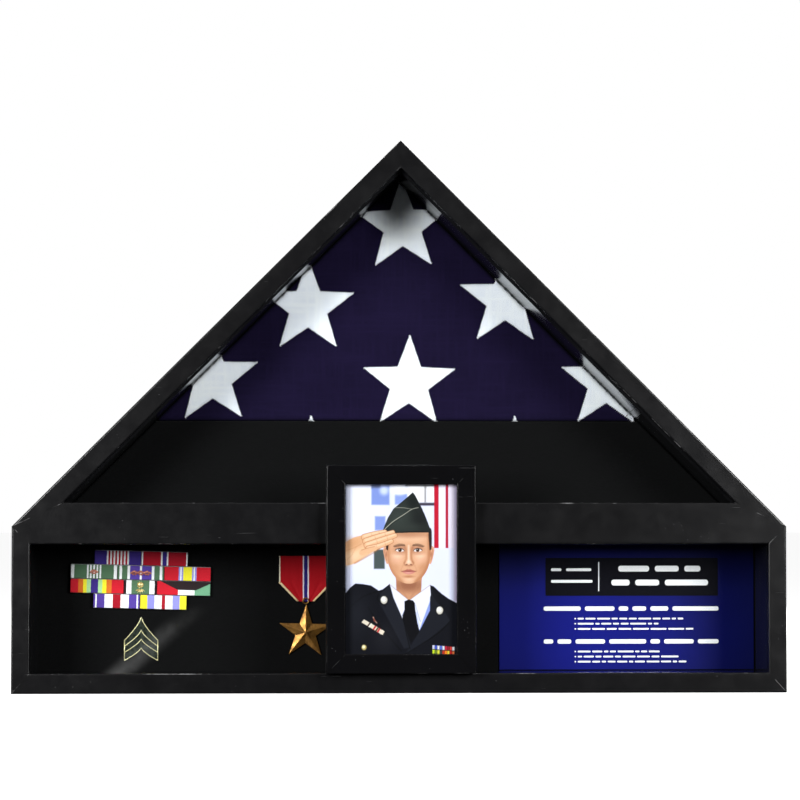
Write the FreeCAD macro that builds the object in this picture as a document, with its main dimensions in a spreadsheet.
"""Folded flag display case: a gabled shadow box with a base compartment and a small photo frame.

The case stands on the plane z = 0, its front faces -Y, and the origin is the bottom centre of its box.
Every outline is drawn in the XZ plane and padded backwards, towards +Y.
"""
import FreeCAD, Part
import os
import Sketcher

V = FreeCAD.Vector

SIZES = {
    # outside of the case
    "case_width": 596,
    "shoulder_height": 128,
    "overall_depth": 98,
    "rear_proud": 4,
    "photo_proud": 11,
    # carcass boards and the face frame in front of them
    "board_thick": 9,
    "face_thick": 8,
    "rafter_width": 15,
    "stile_width": 14,
    "bottom_rail": 15.4,
    "middle_rail_low": 114.3,
    "middle_rail_high": 146.2,
    "shelf_low": 124.5,
    "panel_low_top": 124,
    "edge_round": 1.2,
    # sheets and linings
    "glass_thick": 2,
    "fit_gap": 0.5,
    "spacer_thick": 5,
    "roof_spacer_thick": 7.7,
    "back_thick": 3,
    "back_recess": 0.3,
    "backing_thick": 3,
    "felt_board_thick": 6,
    # turn buttons and their screws
    "button_length": 20,
    "button_width": 8,
    "button_thick": 1.5,
    "button_lift": 0.2,
    "screw_radius": 1.4,
    "screw_clear": 0.25,
    "screw_length": 14,
    "head_radius": 3.4,
    "head_crown": 2.3,
    "recess_width": 0.9,
    "recess_depth": 1,
    # small photo frame on the front
    "photo_width": 115,
    "photo_low": 15.4,
    "photo_high": 175,
    "photo_border": 15,
    "photo_moulding": 5.4,
    "photo_slot": 3.4,
    "photo_strip": 9,
    "photo_glass_thick": 1.5,
    "print_thick": 0.4,
    "card_thick": 1.2,
    "print_gap": 0.6,
    # folded flag and the block that carries it
    "flag_low": 211.5,
    "flag_thick": 8.7,
    "flag_round": 1.5,
    "block_thick": 6.7,
    # ribbon rack
    "rack_x": -202.5,
    "rack_z": 85.6,
    "rack_tilt": 1.5,
    "rack_thick": 1,
    "ribbon_wide": 36.3,
    "ribbon_high": 10.8,
    "ribbon_thick": 2.5,
    "ribbon_pitch_x": 36.8,
    "ribbon_pitch_z": 11.4,
    # rank insignia
    "chevron_x": -202,
    "chevron_high": 57,
    "chevron_low": 22,
    "chevron_wide": 27,
    "chevron_slope": 17,
    "chevron_thick": 2,
    # medal
    "medal_x": -72.4,
    "medal_z": 44.3,
    "star_radius": 22,
    "star_inner": 8.6,
    "star_thick": 3.6,
    "star_lift": 0.7,
    "ring_radius": 2.2,
    "ring_wire": 0.5,
    "medal_ribbon_wide": 42,
    "medal_ribbon_top": 104.5,
    "medal_ribbon_point": 68.6,
    "medal_ribbon_taper": 15.4,
    "medal_ribbon_flat": 12,
    "medal_ribbon_thick": 1.5,
    # printed card
    "info_left": 81,
    "info_right": 283.2,
    "info_low": 14.6,
    "info_high": 118,
}

document = FreeCAD.newDocument("flag_display_case")
sheet = document.addObject("Spreadsheet::Sheet", "Sheet")
for row, (alias, size) in enumerate(SIZES.items(), start=1):
    sheet.set(f"A{row}", alias)
    sheet.set(f"B{row}", str(size))
    sheet.setAlias(f"B{row}", alias)
document.recompute()

# planes along the depth, as expressions of the sheet
FRONT = "(-Sheet.overall_depth / 2)"
FACE_FRONT = f"({FRONT} + Sheet.photo_proud)"
GLASS_FRONT = f"({FACE_FRONT} + Sheet.face_thick)"
GLASS_BACK = f"({GLASS_FRONT} + Sheet.glass_thick)"
BOARD_BACK = "(Sheet.overall_depth / 2 - Sheet.rear_proud)"
PANEL_FRONT = f"({BOARD_BACK} - Sheet.back_recess - Sheet.back_thick)"
BACKING_FRONT = f"({PANEL_FRONT} - Sheet.backing_thick)"
FELT_FRONT = f"({PANEL_FRONT} - Sheet.felt_board_thick)"
SLOT_FRONT = f"({FRONT} + Sheet.photo_moulding)"
SLOT_BACK = f"({SLOT_FRONT} + Sheet.photo_slot)"
HEAD_HIGH = "(Sheet.rear_proud - 2 * Sheet.button_lift - Sheet.button_thick)"

# main lines of the front view
HALF = "(Sheet.case_width / 2)"
APEX = f"({HALF} + Sheet.shoulder_height)"
WALL = f"({HALF} - Sheet.board_thick)"
LINED = f"({WALL} - Sheet.spacer_thick)"
SHELF_TOP = "(Sheet.shelf_low + Sheet.board_thick)"
LINED_SHELF = f"({SHELF_TOP} + Sheet.spacer_thick)"

parts = []


def value(expression):
    """The number that an expression of the sheet stands for."""
    return float(sheet.evalExpression(expression))


def roof(inset):
    """Height where a line parallel to the 45 degree roof, `inset` inside it, meets the centre line."""
    return f"({APEX} - ({inset}) * sqrt(2))"


ROOF_INNER = roof("Sheet.board_thick")
ROOF_LINED = roof("Sheet.board_thick + Sheet.roof_spacer_thick")
ROOF_SHEET = roof("Sheet.board_thick + Sheet.fit_gap")
ROOF_LOOSE = roof("Sheet.board_thick + Sheet.roof_spacer_thick + Sheet.fit_gap")
ROOF_FACE = roof("Sheet.rafter_width")
ROOF_MIDDLE = roof("Sheet.board_thick / 2")


def mirrored(outline):
    """The same outline on the other side of the centre line."""
    return [(f"-({across})", up) for across, up in outline]


def rectangle(left, right, low, high):
    return [(left, low), (right, low), (right, high), (left, high)]


def gable(line, low):
    """Triangle under the roof line that meets the centre line at height `line`, standing on `low`."""
    return [(f"-({line} - {low})", low), (f"({line} - {low})", low), ("0", line)]


def finish(shape_object, label):
    """Keep an object as one of the sub-parts."""
    shape_object.Label = label
    parts.append(shape_object)
    return shape_object


def prism(label, outline, front, depth):
    """A closed outline in the XZ plane, padded backwards from the plane y = front."""
    body = document.addObject("PartDesign::Body", label)
    plane = next(item for item in body.Origin.OriginFeatures if item.Role == "XZ_Plane")
    sketch = body.newObject("Sketcher::SketchObject", f"{label}_outline")
    sketch.AttachmentSupport = [(plane, "")]
    sketch.MapMode = "FlatFace"
    corners = [(value(across), value(up)) for across, up in outline]
    count = len(corners)
    for index, (across, up) in enumerate(corners):
        after = corners[(index + 1) % count]
        sketch.addGeometry(Part.LineSegment(V(across, up, 0), V(after[0], after[1], 0)), False)
    for index in range(count):
        sketch.addConstraint(Sketcher.Constraint("Coincident", index, 2, (index + 1) % count, 1))
    for index, corner in enumerate(outline):
        bind_corner(sketch, index, "DistanceX", -2, corner[0], corners[index][0])
        bind_corner(sketch, index, "DistanceY", -1, corner[1], corners[index][1])
    pad = body.newObject("PartDesign::Pad", f"{label}_pad")
    pad.Profile = sketch
    pad.Reversed = True
    pad.setExpression("Length", depth)
    body.setExpression("Placement.Base.y", front)
    document.recompute()
    return finish(body, label)


def bind_corner(sketch, index, kind, axis, expression, distance):
    """Tie one coordinate of a sketch corner to an expression, or to the axis where it is nought."""
    if expression == "0":
        sketch.addConstraint(Sketcher.Constraint("PointOnObject", index, 1, axis))
        return
    number = sketch.addConstraint(Sketcher.Constraint(kind, -1, 1, index, 1, distance))
    sketch.setExpression(f"Constraints[{number}]", expression)


def round_front(body, radius, chosen):
    """Round the front edges of a prism whose direction, as a unit vector, `chosen` accepts."""
    pad = body.Tip
    edges = []
    for number, edge in enumerate(pad.Shape.Edges, start=1):
        start, end = edge.firstVertex().Point, edge.lastVertex().Point
        along = (end - start).normalize()
        if abs(start.y) < 1e-6 and abs(end.y) < 1e-6 and chosen(along):
            edges.append(f"Edge{number}")
    fillet = body.newObject("PartDesign::Fillet", f"{body.Name}_round")
    fillet.Base = (pad, edges)
    fillet.setExpression("Radius", radius)
    document.recompute()
    return body


def level(along):
    return abs(along.z) < 1e-3


def upright(along):
    return abs(along.x) < 1e-3


def sloped(along):
    return abs(abs(along.x) - abs(along.z)) < 1e-3


def primitive(kind, label, sizes, place=None, turn=None):
    """A Part primitive or boolean with its sizes, position and rotation bound to expressions."""
    item = document.addObject(kind, label)
    if turn:
        axis, angle = turn
        item.Placement = FreeCAD.Placement(V(0, 0, 0), FreeCAD.Rotation(axis, value(angle)))
        item.setExpression("Placement.Rotation.Angle", f"({angle}) * 1 deg")
    for name, expression in sizes.items():
        item.setExpression(name, expression)
    for axis_name, expression in (place or {}).items():
        item.setExpression(f"Placement.Base.{axis_name}", expression)
    return item


def joined(kind, label, pieces, place=None, turn=None):
    """Several primitives as one shape: Part::MultiFuse welds them, Part::Compound keeps them apart."""
    item = primitive(kind, label, {}, place, turn)
    if kind == "Part::Compound":
        item.Links = pieces
    else:
        item.Shapes = pieces
    return item


def cut(label, base, tool, place=None, turn=None):
    item = primitive("Part::Cut", label, {}, place, turn)
    item.Base = base
    item.Tool = tool
    return item


def carcass():
    """Six mitred boards: floor, two sides, two roof slopes and the shelf between the compartments."""
    depth = f"({BOARD_BACK} - {GLASS_FRONT})"
    floor = [(f"-{HALF}", "0"), (HALF, "0"), (WALL, "Sheet.board_thick"), (f"-{WALL}", "Sheet.board_thick")]
    side = [(HALF, "0"), (HALF, "Sheet.shoulder_height"), (WALL, f"({ROOF_INNER} - {WALL})"),
            (WALL, "Sheet.board_thick")]
    slope = [(HALF, "Sheet.shoulder_height"), ("0", APEX), ("0", ROOF_INNER),
             (WALL, f"({ROOF_INNER} - {WALL})")]
    low, high = f"({ROOF_INNER} - Sheet.shelf_low)", f"({ROOF_INNER} - {SHELF_TOP})"
    shelf = [(f"-{low}", "Sheet.shelf_low"), (low, "Sheet.shelf_low"), (high, SHELF_TOP),
             (f"-{high}", SHELF_TOP)]
    prism("base_board", floor, GLASS_FRONT, depth)
    prism("side_board_left", mirrored(side), GLASS_FRONT, depth)
    prism("side_board_right", side, GLASS_FRONT, depth)
    prism("roof_board_left", mirrored(slope), GLASS_FRONT, depth)
    prism("roof_board_right", slope, GLASS_FRONT, depth)
    prism("divider_shelf", shelf, GLASS_FRONT, depth)


def face_frame():
    """Flat mitred mouldings that frame the two windows, with softened front edges."""
    stile_line = f"({HALF} - Sheet.stile_width)"
    corner = f"({ROOF_FACE} - Sheet.middle_rail_high)"
    sill = [(f"-{HALF}", "0"), (HALF, "0"), (stile_line, "Sheet.bottom_rail"),
            (f"-{stile_line}", "Sheet.bottom_rail")]
    stile = [(HALF, "0"), (HALF, "Sheet.shoulder_height"), (stile_line, "Sheet.middle_rail_low"),
             (stile_line, "Sheet.bottom_rail")]
    middle = [(f"-{HALF}", "Sheet.shoulder_height"), (f"-{stile_line}", "Sheet.middle_rail_low"),
              (stile_line, "Sheet.middle_rail_low"), (HALF, "Sheet.shoulder_height"),
              (corner, "Sheet.middle_rail_high"), (f"-{corner}", "Sheet.middle_rail_high")]
    rafter = [(HALF, "Sheet.shoulder_height"), ("0", APEX), ("0", ROOF_FACE),
              (corner, "Sheet.middle_rail_high")]
    members = (("face_rail_bottom", sill, level), ("face_rail_middle", middle, level),
               ("face_stile_left", mirrored(stile), upright), ("face_stile_right", stile, upright),
               ("face_rafter_left", mirrored(rafter), sloped), ("face_rafter_right", rafter, sloped))
    for label, outline, chosen in members:
        member = prism(label, outline, FACE_FRONT, "Sheet.face_thick")
        round_front(member, "Sheet.edge_round", chosen)


def base_sheet():
    """Outline of a sheet that drops into the base compartment from behind."""
    across = f"({WALL} - Sheet.fit_gap)"
    return rectangle(f"-{across}", across, "(Sheet.board_thick + Sheet.fit_gap)", "Sheet.panel_low_top")


def sheets():
    """Glass, linings and back panels of both compartments."""
    flag_sheet = gable(ROOF_SHEET, f"({SHELF_TOP} + Sheet.fit_gap)")
    prism("flag_glass", flag_sheet, GLASS_FRONT, "Sheet.glass_thick")
    prism("base_glass", base_sheet(), GLASS_FRONT, "Sheet.glass_thick")
    prism("flag_backing_board", flag_sheet, BACKING_FRONT, "Sheet.backing_thick")
    prism("base_felt_board", base_sheet(), FELT_FRONT, "Sheet.felt_board_thick")
    prism("flag_back_panel", flag_sheet, PANEL_FRONT, "Sheet.back_thick")
    prism("base_back_panel", base_sheet(), PANEL_FRONT, "Sheet.back_thick")


def spacers():
    """Strips that line the compartments and press the glass forward."""
    flag_depth = f"({BACKING_FRONT} - {GLASS_BACK})"
    base_depth = f"({FELT_FRONT} - {GLASS_BACK})"
    slope = [(f"({ROOF_INNER} - {SHELF_TOP})", SHELF_TOP), ("0", ROOF_INNER), ("0", ROOF_LINED),
             (f"({ROOF_LINED} - {SHELF_TOP})", SHELF_TOP)]
    low, high = f"({ROOF_LINED} - {SHELF_TOP})", f"({ROOF_LINED} - {LINED_SHELF})"
    floor = [(f"-{low}", SHELF_TOP), (low, SHELF_TOP), (high, LINED_SHELF), (f"-{high}", LINED_SHELF)]
    prism("flag_spacer_left", mirrored(slope), GLASS_BACK, flag_depth)
    prism("flag_spacer_right", slope, GLASS_BACK, flag_depth)
    prism("flag_spacer_bottom", floor, GLASS_BACK, flag_depth)
    side = rectangle(LINED, WALL, "Sheet.board_thick", "Sheet.panel_low_top")
    prism("base_spacer_left", mirrored(side), GLASS_BACK, base_depth)
    prism("base_spacer_right", side, GLASS_BACK, base_depth)
    ceiling = rectangle(f"-{LINED}", LINED, "(Sheet.shelf_low - Sheet.spacer_thick)", "Sheet.shelf_low")
    prism("base_spacer_top", ceiling, GLASS_BACK, base_depth)
    floor = rectangle(f"-{LINED}", LINED, "Sheet.board_thick", "(Sheet.board_thick + Sheet.spacer_thick)")
    prism("base_spacer_bottom", floor, GLASS_BACK, base_depth)


def button_places():
    """Pivot of each turn button in the XZ plane, and its angle when it lies along its board."""
    edge, middle = f"({HALF} - Sheet.board_thick / 2)", "(Sheet.board_thick / 2)"
    places = []
    for share in ("0.25", "0.68"):
        up = f"(Sheet.shoulder_height + ({APEX} - Sheet.shoulder_height) * {share})"
        across = f"({ROOF_MIDDLE} - {up})"
        places.append((f"-{across}", up, "-45"))
        places.append((across, up, "45"))
    half_side = "(Sheet.shoulder_height / 2)"
    places.append((f"-{edge}", half_side, "-90"))
    places.append((edge, half_side, "90"))
    quarter = "(Sheet.case_width / 4)"
    places.append((f"-{quarter}", middle, "180"))
    places.append((quarter, middle, "180"))
    return places


def turn_buttons():
    """Round-ended plates that turn over the back panels, each on its own pan-head screw."""
    button_front = f"({BOARD_BACK} + Sheet.button_lift)"
    half_wide = "(Sheet.button_width / 2)"
    screws = []
    for number, (across, up, angle) in enumerate(button_places(), start=1):
        name = f"turn_button_{number}"
        plate = primitive("Part::Box", f"{name}_plate", {
            "Length": "Sheet.button_length", "Width": "Sheet.button_thick",
            "Height": "Sheet.button_width"}, {"z": f"-{half_wide}"})
        disc = {"Radius": half_wide, "Height": "Sheet.button_thick"}
        onto_y = (V(1, 0, 0), "-90")
        heel = primitive("Part::Cylinder", f"{name}_heel", disc, turn=onto_y)
        tip = primitive("Part::Cylinder", f"{name}_tip", disc, {"x": "Sheet.button_length"}, onto_y)
        hole = primitive("Part::Cylinder", f"{name}_hole", {
            "Radius": "(Sheet.screw_radius + Sheet.screw_clear)", "Height": "Sheet.button_thick"},
            turn=onto_y)
        blank = joined("Part::MultiFuse", f"{name}_blank", [plate, heel, tip])
        place = {"x": across, "y": button_front, "z": up}
        finish(cut(name, blank, hole, place, (V(0, 1, 0), angle)), name)
        screws.append(pan_head_screw(f"screw_{number}", across, up, angle))
    finish(joined("Part::Compound", "turn_button_screws", screws), "turn_button_screws")


def pan_head_screw(name, across, up, angle):
    """A screw along Y with a crowned head and a cross recess, its head resting on the button."""
    onto_y = (V(1, 0, 0), "-90")
    under_head = f"({BOARD_BACK} + 2 * Sheet.button_lift + Sheet.button_thick)"
    head = primitive("Part::Cone", f"{name}_head", {
        "Radius1": "Sheet.head_radius", "Radius2": "Sheet.head_crown",
        "Height": HEAD_HIGH}, turn=onto_y)
    shank = primitive("Part::Cylinder", f"{name}_shank", {
        "Radius": "Sheet.screw_radius", "Height": "Sheet.screw_length"},
        {"y": "-Sheet.screw_length"}, onto_y)
    blank = joined("Part::MultiFuse", f"{name}_blank", [head, shank])
    half_recess = "(Sheet.recess_width / 2)"
    floor = f"({HEAD_HIGH} - Sheet.recess_depth)"
    bars = []
    for bar, long_side, short_side, long_axis, short_axis in (
            ("wide", "Length", "Height", "x", "z"), ("tall", "Height", "Length", "z", "x")):
        bars.append(primitive("Part::Box", f"{name}_{bar}", {
            long_side: "(2 * Sheet.head_crown - Sheet.recess_width)", short_side: "Sheet.recess_width",
            "Width": "(2 * Sheet.recess_depth)"}, {
            long_axis: f"({half_recess} - Sheet.head_crown)", "y": floor, short_axis: f"-{half_recess}"}))
    cross = joined("Part::MultiFuse", f"{name}_cross", bars)
    return cut(name, blank, cross, {"x": across, "y": under_head, "z": up}, (V(0, 1, 0), angle))


def photo_frame():
    """A small slot-loading frame glued to the front of the middle rail."""
    half = "(Sheet.photo_width / 2)"
    inner = f"({half} - Sheet.photo_border)"
    low, high = "Sheet.photo_low", "Sheet.photo_high"
    inner_low, inner_high = f"({low} + Sheet.photo_border)", f"({high} - Sheet.photo_border)"
    stile = [(half, low), (half, high), (inner, inner_high), (inner, inner_low)]
    head = [(f"-{half}", high), (half, high), (inner, inner_high), (f"-{inner}", inner_high)]
    foot = [(f"-{half}", low), (half, low), (inner, inner_low), (f"-{inner}", inner_low)]
    for label, outline, chosen in (
            ("photo_frame_left", mirrored(stile), upright), ("photo_frame_right", stile, upright),
            ("photo_frame_top", head, level), ("photo_frame_bottom", foot, level)):
        moulding = prism(label, outline, FRONT, "Sheet.photo_moulding")
        round_front(moulding, "Sheet.edge_round", chosen)
    slot_side, slot_low = f"({half} - Sheet.photo_strip)", f"({low} + Sheet.photo_strip)"
    strip = rectangle(slot_side, half, low, high)
    prism("photo_slot_strip_left", mirrored(strip), SLOT_FRONT, "Sheet.photo_slot")
    prism("photo_slot_strip_right", strip, SLOT_FRONT, "Sheet.photo_slot")
    floor = rectangle(f"-{slot_side}", slot_side, low, slot_low)
    prism("photo_slot_strip_bottom", floor, SLOT_FRONT, "Sheet.photo_slot")
    back_thick = f"({FACE_FRONT} - {SLOT_BACK})"
    prism("photo_frame_back", rectangle(f"-{half}", half, low, high), SLOT_BACK, back_thick)
    side = f"({slot_side} - Sheet.print_gap)"
    sheet_high = f"({high} - Sheet.print_gap)"
    pane = rectangle(f"-{side}", side, slot_low, sheet_high)
    prism("photo_glass", pane, SLOT_FRONT, "Sheet.photo_glass_thick")
    print_front = f"({SLOT_FRONT} + Sheet.photo_glass_thick + 0.05)"
    prism("photo_print", pane, print_front, "Sheet.print_thick")
    prism("photo_backing_card", pane, f"({print_front} + Sheet.print_thick)", "Sheet.card_thick")


def flag_and_block():
    """The flag folded to a triangle under the roof, and the covered block that it stands on."""
    flag = prism("folded_flag", gable(ROOF_LOOSE, "Sheet.flag_low"),
                 f"({BACKING_FRONT} - Sheet.flag_thick)", "Sheet.flag_thick")
    round_front(flag, "Sheet.flag_round", lambda along: True)
    top = "(Sheet.flag_low - Sheet.fit_gap)"
    low_across, high_across = f"({ROOF_LOOSE} - {LINED_SHELF})", f"({ROOF_LOOSE} - {top})"
    block = [(f"-{low_across}", LINED_SHELF), (low_across, LINED_SHELF), (high_across, top),
             (f"-{high_across}", top)]
    prism("flag_support_block", block, f"({BACKING_FRONT} - Sheet.block_thick)", "Sheet.block_thick")


def ribbon_rack():
    """Four rows of service ribbons on one thin plate, pinned to the felt a little out of level."""
    tilt = (V(0, 1, 0), "Sheet.rack_tilt")
    plate_front = f"({FELT_FRONT} - Sheet.rack_thick)"
    counts = (2, 3, 3, 2)
    rows = len(counts)
    slats = []
    for index, count in enumerate(counts):
        pieces = []
        low = f"(({rows - 1} / 2 - {index}) * Sheet.ribbon_pitch_z - Sheet.ribbon_high / 2)"
        width = f"(({count} - 1) * Sheet.ribbon_pitch_x + Sheet.ribbon_wide)"
        for step in range(count):
            left = f"({step} * Sheet.ribbon_pitch_x - {width} / 2)"
            pieces.append(primitive("Part::Box", f"ribbon_{index + 1}_{step + 1}", {
                "Length": "Sheet.ribbon_wide", "Width": "Sheet.ribbon_thick",
                "Height": "Sheet.ribbon_high"}, {"x": left, "z": low}))
        slats.append(primitive("Part::Box", f"rack_slat_{index + 1}", {
            "Length": width, "Width": "Sheet.rack_thick", "Height": "Sheet.ribbon_pitch_z"},
            {"x": f"-{width} / 2", "z": f"({low} - (Sheet.ribbon_pitch_z - Sheet.ribbon_high) / 2)"}))
        place = {"x": "Sheet.rack_x", "y": f"({plate_front} - Sheet.ribbon_thick)", "z": "Sheet.rack_z"}
        name = f"ribbon_row_{index + 1}"
        finish(joined("Part::Compound", name, pieces, place, tilt), name)
    place = {"x": "Sheet.rack_x", "y": plate_front, "z": "Sheet.rack_z"}
    finish(joined("Part::MultiFuse", "ribbon_rack_plate", slats, place, tilt), "ribbon_rack_plate")


def insignia():
    """Rank chevrons, pinned under the ribbons."""
    half = "(Sheet.chevron_wide / 2)"
    left, right = f"(Sheet.chevron_x - {half})", f"(Sheet.chevron_x + {half})"
    outline = [(left, "Sheet.chevron_low"), (left, "(Sheet.chevron_high - Sheet.chevron_slope)"),
               ("Sheet.chevron_x", "Sheet.chevron_high"),
               (right, "(Sheet.chevron_high - Sheet.chevron_slope)"), (right, "Sheet.chevron_low"),
               ("Sheet.chevron_x", "(Sheet.chevron_low + Sheet.chevron_slope)")]
    prism("rank_chevrons", outline, f"({FELT_FRONT} - Sheet.chevron_thick)", "Sheet.chevron_thick")


def medal():
    """A five-pointed star on a ring, hung from a ribbon that narrows to a short flat end."""
    star_front = f"({FELT_FRONT} - Sheet.star_lift - Sheet.star_thick)"
    points = []
    for index in range(10):
        radius = "Sheet.star_radius" if index % 2 == 0 else "Sheet.star_inner"
        angle = 36 * index
        points.append((f"(Sheet.medal_x + {radius} * sin({angle} deg))",
                       f"(Sheet.medal_z + {radius} * cos({angle} deg))"))
    prism("medal_star", points, star_front, "Sheet.star_thick")
    ring_up = "(Sheet.medal_z + Sheet.star_radius + Sheet.ring_radius + 1.2 * Sheet.ring_wire)"
    ring_back = f"({FELT_FRONT} - Sheet.medal_ribbon_thick - 1.2 * Sheet.ring_wire)"
    ring_place = {"x": "Sheet.medal_x", "y": ring_back, "z": ring_up}
    ring_sizes = {"Radius1": "Sheet.ring_radius", "Radius2": "Sheet.ring_wire"}
    finish(primitive("Part::Torus", "medal_ring", ring_sizes, ring_place, (V(1, 0, 0), "90")),
           "medal_ring")
    half, flat = "(Sheet.medal_ribbon_wide / 2)", "(Sheet.medal_ribbon_flat / 2)"
    shoulder = "(Sheet.medal_ribbon_point + Sheet.medal_ribbon_taper)"
    left, right = f"(Sheet.medal_x - {half})", f"(Sheet.medal_x + {half})"
    outline = [(left, "Sheet.medal_ribbon_top"), (right, "Sheet.medal_ribbon_top"), (right, shoulder),
               (f"(Sheet.medal_x + {flat})", "Sheet.medal_ribbon_point"),
               (f"(Sheet.medal_x - {flat})", "Sheet.medal_ribbon_point"), (left, shoulder)]
    prism("medal_ribbon", outline, f"({FELT_FRONT} - Sheet.medal_ribbon_thick)",
          "Sheet.medal_ribbon_thick")


def info_card():
    """A printed card that fills the right of the base compartment."""
    outline = rectangle("Sheet.info_left", "Sheet.info_right", "Sheet.info_low", "Sheet.info_high")
    prism("info_card", outline, f"({FELT_FRONT} - Sheet.card_thick)", "Sheet.card_thick")


def save_parts():
    """Stop if anything failed, then write one STEP file for each sub-part."""
    document.recompute()
    for item in document.Objects:
        if "Invalid" in item.State or "Error" in item.State:
            raise RuntimeError(f"{item.Name} failed: {item.State}")
    for item in parts:
        if item.Shape.isNull() or not item.Shape.isValid() or not item.Shape.Solids:
            raise RuntimeError(f"{item.Label} has no valid solid")
    os.makedirs("parts", exist_ok=True)
    for item in parts:
        item.Shape.exportStep(f"parts/{item.Label}.step")
        box = item.Shape.BoundBox
        print(f"{item.Label:26s} {len(item.Shape.Solids)} solids {item.Shape.Volume:12.1f} mm3 "
              f"x {box.XMin:8.2f} {box.XMax:8.2f} y {box.YMin:7.2f} {box.YMax:7.2f} "
              f"z {box.ZMin:7.2f} {box.ZMax:7.2f}")


carcass()
face_frame()
sheets()
spacers()
turn_buttons()
photo_frame()
flag_and_block()
ribbon_rack()
insignia()
medal()
info_card()
save_parts()
